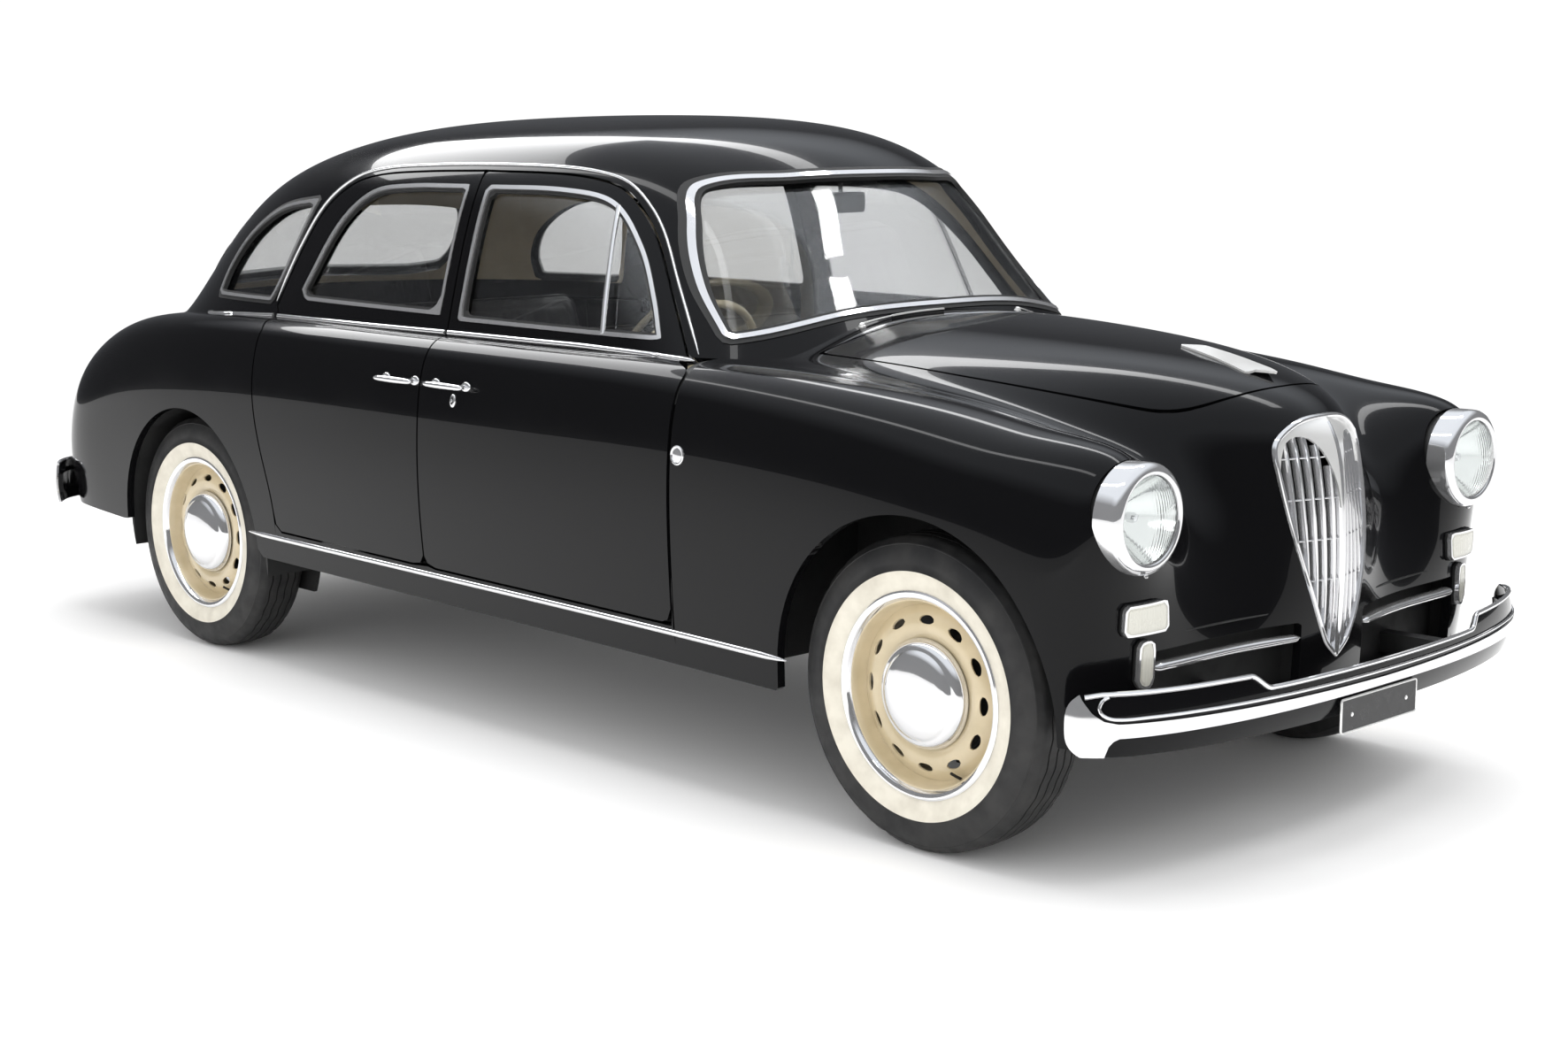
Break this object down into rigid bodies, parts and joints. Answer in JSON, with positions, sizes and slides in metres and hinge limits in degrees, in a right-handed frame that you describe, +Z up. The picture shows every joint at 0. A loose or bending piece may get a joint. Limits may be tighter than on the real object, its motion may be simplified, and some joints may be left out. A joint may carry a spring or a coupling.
{
  "type": "classic saloon car",
  "caption": "Rounded mid-century saloon with pontoon wings, opposed side doors, opening bonnet and boot, white-wall wheels and steered front axle.",
  "frame": {"origin": "centre of the length and width at the ground, under the tyres", "axes": "+X towards the nose, +Y to the car's left, +Z up"},
  "size_m": [4.4386, 1.644, 1.5513],
  "materials": {
    "black_paint": "deep gloss black body paint",
    "pan_paint": "satin black chassis paint",
    "black_steel": "gloss black steel",
    "iron": "dark painted casting",
    "chrome": "polished plating",
    "glass": "clear flat glass",
    "lamp_glass": "fluted clear lens",
    "red_plastic": "red lamp lens",
    "plate_enamel": "blank black enamel",
    "leather": "dark grey hide",
    "cream_plastic": "cream moulding",
    "tyre": "black rubber with a cream side band",
    "wheel_enamel": "beige enamel"
  },
  "bodies": {
    "body": {"nose_panel": "black_paint", "cowl": "black_paint", "front_fenders": "black_paint", "sills": "black_paint", "rear_body": "black_paint", "roof_shell": "black_paint", "windscreen": "glass", "rear_glass": "glass", "floor_pan": "pan_paint", "front_frame": "pan_paint", "tunnel": "pan_paint", "rear_floor": "pan_paint", "latch_panel": "pan_paint", "engine_block": "iron", "radiator": "pan_paint", "front_axle": "pan_paint", "rear_axle": "iron", "front_bumper": "black_steel", "rear_bumper": "black_steel", "grille": "chrome", "intake_bars": "chrome", "headlamps": "chrome", "headlamp_glass": "lamp_glass", "front_sidelamps": "chrome", "tail_lamps": "red_plastic", "number_plates": "plate_enamel", "fuel_tank": "pan_paint", "exhaust": "pan_paint", "front_seats": "leather", "rear_seat": "leather", "dashboard": "pan_paint", "steering_column": "pan_paint", "interior_mirror": "chrome", "wipers": "chrome"},
    "bonnet": {"bonnet": "black_paint", "bonnet_ornament": "chrome"},
    "boot_lid": {"boot_lid": "black_paint"},
    "front_door_left": {"front_door_left": "black_paint", "front_glass_left": "glass", "front_handle_left": "chrome"},
    "front_door_right": {"front_door_right": "black_paint", "front_glass_right": "glass", "front_handle_right": "chrome"},
    "rear_door_left": {"rear_door_left": "black_paint", "rear_glass_left": "glass", "rear_handle_left": "chrome"},
    "rear_door_right": {"rear_door_right": "black_paint", "rear_glass_right": "glass", "rear_handle_right": "chrome"},
    "knuckle_left": {"knuckle_left": "iron"},
    "knuckle_right": {"knuckle_right": "iron"},
    "front_wheel_left": {"front_tyre_left": "tyre", "front_wheel_left": "wheel_enamel"},
    "front_wheel_right": {"front_tyre_right": "tyre", "front_wheel_right": "wheel_enamel"},
    "rear_wheel_left": {"rear_tyre_left": "tyre", "rear_wheel_left": "wheel_enamel"},
    "rear_wheel_right": {"rear_tyre_right": "tyre", "rear_wheel_right": "wheel_enamel"},
    "steering_wheel": {"steering_wheel": "cream_plastic"}
  },
  "joints": [
    {"name": "steer_left", "type": "hinge", "parent": "body", "child": "knuckle_left", "pos_m": [1.555, 0.598, 0.3415], "axis": [0, 0, 1], "range_deg": [-30, 30]},
    {"name": "steer_right", "type": "hinge", "parent": "body", "child": "knuckle_right", "pos_m": [1.555, -0.598, 0.3415], "axis": [0, 0, 1], "range_deg": [-30, 30]},
    {"name": "steering_wheel_turn", "type": "hinge", "parent": "body", "child": "steering_wheel", "pos_m": [0.42, -0.36, 0.905], "axis": [-0.8829, 0, 0.4695], "range_deg": [-420, 420]},
    {"name": "front_wheel_left_spin", "type": "hinge", "parent": "knuckle_left", "child": "front_wheel_left", "pos_m": [1.555, 0.6735, 0.3415], "axis": [0, 1, 0], "continuous": true},
    {"name": "front_wheel_right_spin", "type": "hinge", "parent": "knuckle_right", "child": "front_wheel_right", "pos_m": [1.555, -0.6735, 0.3415], "axis": [0, 1, 0], "continuous": true},
    {"name": "rear_wheel_left_spin", "type": "hinge", "parent": "body", "child": "rear_wheel_left", "pos_m": [-1.305, 0.6735, 0.3415], "axis": [0, 1, 0], "continuous": true},
    {"name": "rear_wheel_right_spin", "type": "hinge", "parent": "body", "child": "rear_wheel_right", "pos_m": [-1.305, -0.6735, 0.3415], "axis": [0, 1, 0], "continuous": true},
    {"name": "bonnet_hinge", "type": "hinge", "parent": "body", "child": "bonnet", "pos_m": [1, 0, 1.083], "axis": [0, -1, 0], "range_deg": [0, 50]},
    {"name": "boot_hinge", "type": "hinge", "parent": "body", "child": "boot_lid", "pos_m": [-2.066, 0, 0.893], "axis": [0, 1, 0], "range_deg": [0, 75]},
    {"name": "front_door_left_hinge", "type": "hinge", "parent": "body", "child": "front_door_left", "pos_m": [0.797, 0.778, 0.65], "axis": [0, 0, -1], "range_deg": [0, 65]},
    {"name": "front_door_right_hinge", "type": "hinge", "parent": "body", "child": "front_door_right", "pos_m": [0.797, -0.778, 0.65], "axis": [0, 0, 1], "range_deg": [0, 65]},
    {"name": "rear_door_left_hinge", "type": "hinge", "parent": "body", "child": "rear_door_left", "pos_m": [-0.826, 0.784, 0.65], "axis": [0, 0, 1], "range_deg": [0, 65]},
    {"name": "rear_door_right_hinge", "type": "hinge", "parent": "body", "child": "rear_door_right", "pos_m": [-0.826, -0.784, 0.65], "axis": [0, 0, -1], "range_deg": [0, 65]}
  ],
  "couplings": [
    {"joint": "steer_right", "follows": "steer_left", "ratio": 1},
    {"joint": "steering_wheel_turn", "follows": "steer_left", "ratio": 14}
  ]
}
